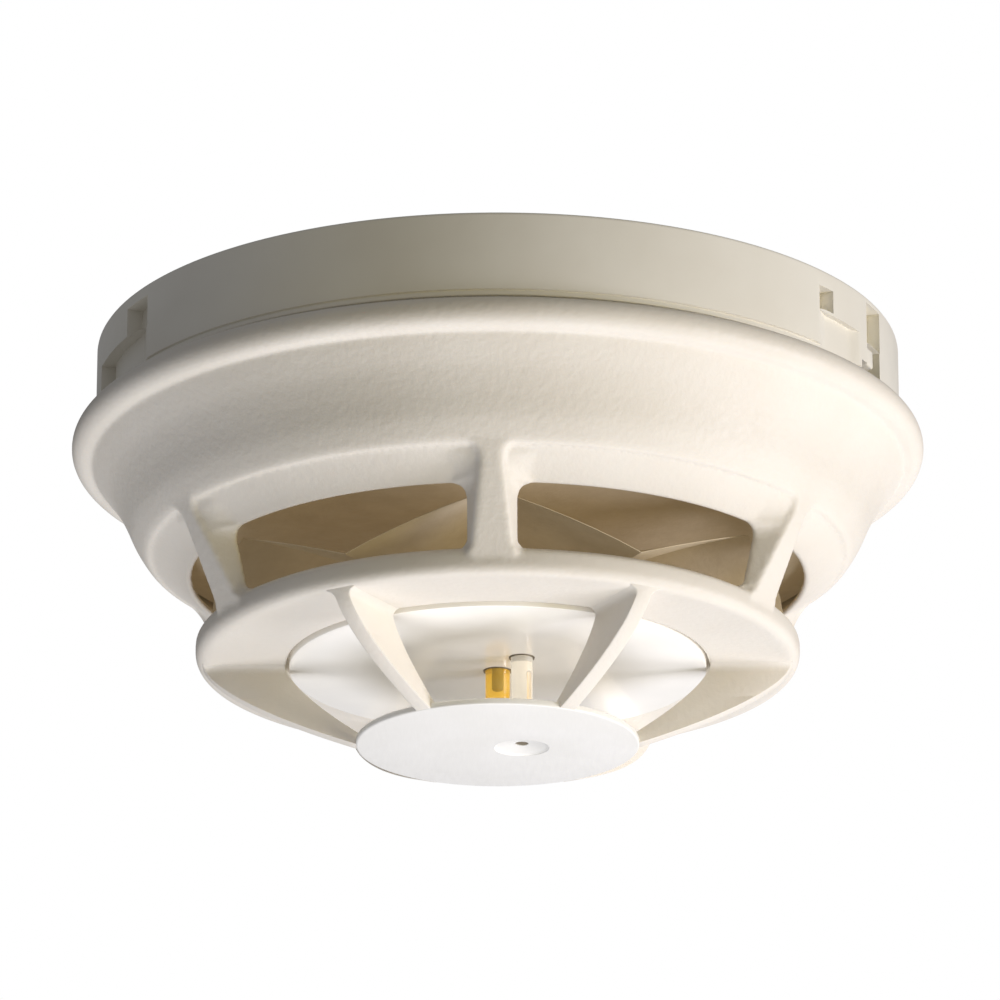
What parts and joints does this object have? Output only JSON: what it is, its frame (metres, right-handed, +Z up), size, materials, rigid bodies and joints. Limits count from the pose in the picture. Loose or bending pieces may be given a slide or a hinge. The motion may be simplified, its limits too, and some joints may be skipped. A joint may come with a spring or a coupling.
{
  "type": "heat detector",
  "caption": "Point heat detector for a ceiling: a caged thermistor in a flared, slotted head that twists onto a round wiring base.",
  "frame": {"origin": "centre of the base's top face, on the ceiling plane", "axes": "+Z up into the ceiling, along the detector's axis; the body hangs towards -Z; -Y is the side with a rib of the upper windows facing the viewer; +X is to the viewer's right"},
  "size_m": [0.115, 0.115, 0.0551],
  "materials": {
    "housing_plastic": "fine spark-eroded cream moulding",
    "base_plastic": "smooth satin cream moulding",
    "inner_cover_plastic": "glossy white",
    "deflector_plastic": "matt tan",
    "chassis_plastic": "matt grey",
    "contact_brass": "bright",
    "plated_steel": "zinc plated",
    "board_laminate": "solder mask",
    "package_epoxy": "moulded epoxy",
    "led_lens": "tinted clear",
    "light_pipe_clear": "clear polished",
    "thermistor_amber": "amber epoxy bead"
  },
  "bodies": {
    "base": {"mounting_base": "base_plastic", "terminal_strip_1": "contact_brass", "terminal_strip_2": "contact_brass", "terminal_strip_3": "contact_brass", "terminal_strip_4": "contact_brass", "wire_clamp_1": "plated_steel", "wire_clamp_2": "plated_steel", "wire_clamp_3": "plated_steel", "wire_clamp_4": "plated_steel", "terminal_screw_1": "plated_steel", "terminal_screw_2": "plated_steel", "terminal_screw_3": "plated_steel", "terminal_screw_4": "plated_steel", "latch_spring": "plated_steel"},
    "latch": {"locking_latch": "base_plastic"},
    "detector_head": {"outer_cover": "housing_plastic", "head_chassis": "chassis_plastic", "contact_blade_1": "contact_brass", "contact_blade_2": "contact_brass", "contact_blade_3": "contact_brass", "contact_blade_4": "contact_brass", "circuit_board": "board_laminate", "controller_chip": "package_epoxy", "bridge_rectifier": "package_epoxy", "surge_suppressor": "package_epoxy", "clock_resonator": "plated_steel", "indicator_driver": "package_epoxy", "line_capacitor": "plated_steel", "indicator_led": "led_lens", "light_pipe": "light_pipe_clear", "air_deflector": "deflector_plastic", "inner_cover": "inner_cover_plastic", "thermistor_bead": "thermistor_amber", "thermistor_lead_1": "plated_steel", "thermistor_lead_2": "plated_steel", "board_screw_1": "plated_steel", "board_screw_2": "plated_steel", "board_screw_3": "plated_steel", "cover_screw_1": "plated_steel", "cover_screw_2": "plated_steel", "cover_screw_3": "plated_steel"}
  },
  "joints": [
    {"name": "head_twist", "type": "hinge", "parent": "base", "child": "detector_head", "pos_m": [0, 0, -0.0075], "axis": [0, 0, 1], "range_deg": [-20, 0]},
    {"name": "latch_press", "type": "slide", "parent": "base", "child": "latch", "axis": [-0.9191, 0.3939, 0], "range_m": [0, 0.0012], "stiffness_N_per_m": 400, "deforming": ["latch_spring"]}
  ]
}
